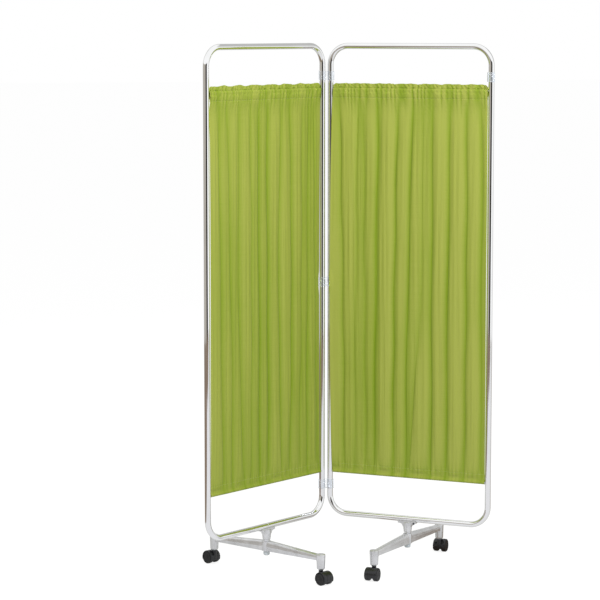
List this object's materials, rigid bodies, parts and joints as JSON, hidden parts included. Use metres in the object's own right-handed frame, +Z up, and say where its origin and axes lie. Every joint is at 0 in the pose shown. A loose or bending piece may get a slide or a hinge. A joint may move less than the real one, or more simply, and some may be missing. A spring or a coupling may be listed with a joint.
{
  "type": "ward privacy screen",
  "caption": "Folding ward privacy screen: chromed tube panels with gathered green curtains, snap hinge connectors and pivoting cast legs on twin wheel casters.",
  "frame": {"origin": "on the floor, at the middle of the footprint of the half open screen, on the line between the two leg posts", "axes": "+Z up, +Y towards the hinge side at the back, +X from the left panel to the right panel as seen from the front"},
  "size_m": [0.9354, 0.428, 1.6998],
  "materials": {
    "chrome_tube": "bright chrome plate on steel tube",
    "bright_steel": "bright zinc plate",
    "cast_metal": "silver painted die casting with a fine satin grain",
    "clear_plastic": "clear moulded plastic with a faint blue cast",
    "pale_nylon": "natural moulded nylon",
    "black_nylon": "black moulded nylon with a soft sheen",
    "black_tread": "black moulded nylon wheel",
    "green_cloth": "plain woven polyester, lime green, gathered"
  },
  "bodies": {
    "left_panel": {"left_frame_tube": "chrome_tube", "left_upper_rod": "bright_steel", "left_lower_rod": "bright_steel", "left_curtain": "green_cloth", "left_saddle": "cast_metal", "left_saddle_screw_front": "bright_steel", "left_saddle_screw_back": "bright_steel", "left_post": "bright_steel", "left_post_washer": "bright_steel", "left_post_nut": "bright_steel", "left_post_cap": "pale_nylon"},
    "connectors": {"top_connector": "clear_plastic", "middle_connector": "clear_plastic", "bottom_connector": "clear_plastic"},
    "right_panel": {"right_frame_tube": "chrome_tube", "right_upper_rod": "bright_steel", "right_lower_rod": "bright_steel", "right_curtain": "green_cloth", "right_saddle": "cast_metal", "right_saddle_screw_front": "bright_steel", "right_saddle_screw_back": "bright_steel", "right_post": "bright_steel", "right_post_washer": "bright_steel", "right_post_nut": "bright_steel", "right_post_cap": "pale_nylon"},
    "spare_connector": {"spare_connector": "clear_plastic"},
    "left_leg": {"left_leg": "cast_metal", "left_leg_washer": "bright_steel", "left_front_stem_sleeve": "pale_nylon", "left_back_stem_sleeve": "pale_nylon"},
    "right_leg": {"right_leg": "cast_metal", "right_leg_washer": "bright_steel", "right_front_stem_sleeve": "pale_nylon", "right_back_stem_sleeve": "pale_nylon"},
    "left_front_caster": {"left_front_caster_body": "black_nylon", "left_front_caster_stem": "bright_steel", "left_front_caster_axle": "bright_steel"},
    "left_front_wheel_a": {"left_front_wheel_a": "black_tread"},
    "left_front_wheel_b": {"left_front_wheel_b": "black_tread"},
    "left_back_caster": {"left_back_caster_body": "black_nylon", "left_back_caster_stem": "bright_steel", "left_back_caster_axle": "bright_steel"},
    "left_back_wheel_a": {"left_back_wheel_a": "black_tread"},
    "left_back_wheel_b": {"left_back_wheel_b": "black_tread"},
    "right_front_caster": {"right_front_caster_body": "black_nylon", "right_front_caster_stem": "bright_steel", "right_front_caster_axle": "bright_steel"},
    "right_front_wheel_a": {"right_front_wheel_a": "black_tread"},
    "right_front_wheel_b": {"right_front_wheel_b": "black_tread"},
    "right_back_caster": {"right_back_caster_body": "black_nylon", "right_back_caster_stem": "bright_steel", "right_back_caster_axle": "bright_steel"},
    "right_back_wheel_a": {"right_back_wheel_a": "black_tread"},
    "right_back_wheel_b": {"right_back_wheel_b": "black_tread"}
  },
  "joints": [
    {"name": "connector_fold", "type": "hinge", "parent": "left_panel", "child": "connectors", "pos_m": [-0.01509, 0.1595, 0.923], "axis": [0, 0, 1], "range_deg": [-15, 107]},
    {"name": "panel_fold", "type": "hinge", "parent": "connectors", "child": "right_panel", "pos_m": [0.01241, 0.1595, 0.923], "axis": [0, 0, 1], "range_deg": [-17, 107]},
    {"name": "spare_connector_turn", "type": "hinge", "parent": "right_panel", "child": "spare_connector", "pos_m": [0.45553, -0.1595, 1.5945], "axis": [0, 0, 1], "continuous": true},
    {"name": "left_leg_swing", "type": "hinge", "parent": "left_panel", "child": "left_leg", "pos_m": [-0.23665, 0, 0.09], "axis": [0, 0, 1], "range_deg": [-93, 87]},
    {"name": "right_leg_swing", "type": "hinge", "parent": "right_panel", "child": "right_leg", "pos_m": [0.23397, 0, 0.09], "axis": [0, 0, 1], "range_deg": [-81.35, 98.65]},
    {"name": "left_front_swivel", "type": "hinge", "parent": "left_leg", "child": "left_front_caster", "pos_m": [-0.09832, -0.17235, 0.045], "axis": [0, 0, 1], "continuous": true},
    {"name": "left_back_swivel", "type": "hinge", "parent": "left_leg", "child": "left_back_caster", "pos_m": [-0.37498, 0.17235, 0.045], "axis": [0, 0, 1], "continuous": true},
    {"name": "right_front_swivel", "type": "hinge", "parent": "right_leg", "child": "right_front_caster", "pos_m": [0.07934, -0.1579, 0.045], "axis": [0, 0, 1], "continuous": true},
    {"name": "right_back_swivel", "type": "hinge", "parent": "right_leg", "child": "right_back_caster", "pos_m": [0.38859, 0.1579, 0.045], "axis": [0, 0, 1], "continuous": true},
    {"name": "left_front_roll_a", "type": "hinge", "parent": "left_front_caster", "child": "left_front_wheel_a", "pos_m": [-0.09065, -0.18525, 0.02], "axis": [0.8594, 0.5113, 0], "continuous": true},
    {"name": "left_front_roll_b", "type": "hinge", "parent": "left_front_caster", "child": "left_front_wheel_b", "pos_m": [-0.09065, -0.18525, 0.02], "axis": [0.8594, 0.5113, 0], "continuous": true},
    {"name": "left_back_roll_a", "type": "hinge", "parent": "left_back_caster", "child": "left_back_wheel_a", "pos_m": [-0.38265, 0.18525, 0.02], "axis": [-0.8594, -0.5113, 0], "continuous": true},
    {"name": "left_back_roll_b", "type": "hinge", "parent": "left_back_caster", "child": "left_back_wheel_b", "pos_m": [-0.38265, 0.18525, 0.02], "axis": [-0.8594, -0.5113, 0], "continuous": true},
    {"name": "right_front_roll_a", "type": "hinge", "parent": "right_front_caster", "child": "right_front_wheel_a", "pos_m": [0.07044, -0.16997, 0.02], "axis": [0.8049, -0.5934, 0], "continuous": true},
    {"name": "right_front_roll_b", "type": "hinge", "parent": "right_front_caster", "child": "right_front_wheel_b", "pos_m": [0.07044, -0.16997, 0.02], "axis": [0.8049, -0.5934, 0], "continuous": true},
    {"name": "right_back_roll_a", "type": "hinge", "parent": "right_back_caster", "child": "right_back_wheel_a", "pos_m": [0.39749, 0.16997, 0.02], "axis": [-0.8049, 0.5934, 0], "continuous": true},
    {"name": "right_back_roll_b", "type": "hinge", "parent": "right_back_caster", "child": "right_back_wheel_b", "pos_m": [0.39749, 0.16997, 0.02], "axis": [-0.8049, 0.5934, 0], "continuous": true}
  ]
}
